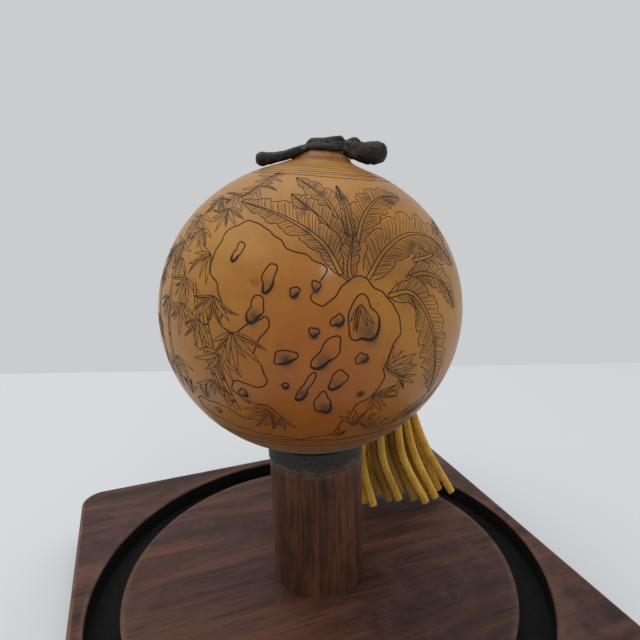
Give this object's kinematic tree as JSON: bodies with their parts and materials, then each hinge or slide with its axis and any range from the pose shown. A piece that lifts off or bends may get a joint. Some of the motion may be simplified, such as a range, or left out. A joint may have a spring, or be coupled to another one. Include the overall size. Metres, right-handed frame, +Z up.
{
  "type": "carved gourd on a stand",
  "caption": "Round carved gourd with a stalk-shaped stopper and a hanging cord tassel, resting on a ring seat on a turned post and a square grooved wooden base",
  "frame": {"origin": "middle of the stand's flat underside", "axes": "+Z up along the post; X and Y along the base's sides; the picture side of the gourd faces -Y, turned 17 degrees towards -X"},
  "size_m": [0.116, 0.116, 0.1159],
  "materials": {
    "base_wood": "satin",
    "post_wood": "satin",
    "seat_leather": "matte",
    "gourd_skin": "polished",
    "collar_wood": "satin",
    "stalk_wood": "satin",
    "cork": "matte",
    "gold_cord": "silky"
  },
  "bodies": {
    "stand": {"base_block": "base_wood", "post": "post_wood"},
    "seat": {"seat_ring": "seat_leather"},
    "gourd": {"gourd_shell": "gourd_skin", "mouth_collar": "collar_wood"},
    "stopper": {"stem_finial": "stalk_wood", "stopper_plug": "cork"},
    "tassel": {"cord_loop": "gold_cord", "hanging_cord": "gold_cord", "tassel_head": "gold_cord", "tassel_binding": "gold_cord", "tassel_strand_01": "gold_cord", "tassel_strand_02": "gold_cord", "tassel_strand_03": "gold_cord", "tassel_strand_04": "gold_cord", "tassel_strand_05": "gold_cord", "tassel_strand_06": "gold_cord", "tassel_strand_07": "gold_cord", "tassel_strand_08": "gold_cord", "tassel_strand_09": "gold_cord", "tassel_strand_10": "gold_cord", "tassel_strand_11": "gold_cord", "tassel_strand_12": "gold_cord", "tassel_strand_13": "gold_cord", "tassel_strand_14": "gold_cord", "tassel_strand_15": "gold_cord", "tassel_strand_16": "gold_cord", "tassel_strand_17": "gold_cord", "tassel_strand_18": "gold_cord", "tassel_strand_19": "gold_cord"}
  },
  "joints": [
    {"name": "gourd_turn", "type": "hinge", "parent": "stand", "child": "seat", "pos_m": [0, 0, 0.0456], "axis": [0, 0, 1], "continuous": true},
    {"name": "gourd_lift", "type": "slide", "parent": "seat", "child": "gourd", "axis": [0, 0, 1], "range_m": [0, 0.03]},
    {"name": "stopper_pull", "type": "slide", "parent": "gourd", "child": "stopper", "axis": [0.0966, -0.0295, 0.9949], "range_m": [0, 0.006]},
    {"name": "tassel_swing", "type": "hinge", "parent": "stopper", "child": "tassel", "pos_m": [0.00292, -0.00089, 0.11033], "axis": [0.0966, -0.0295, 0.9949], "range_deg": [-15, 75]}
  ]
}
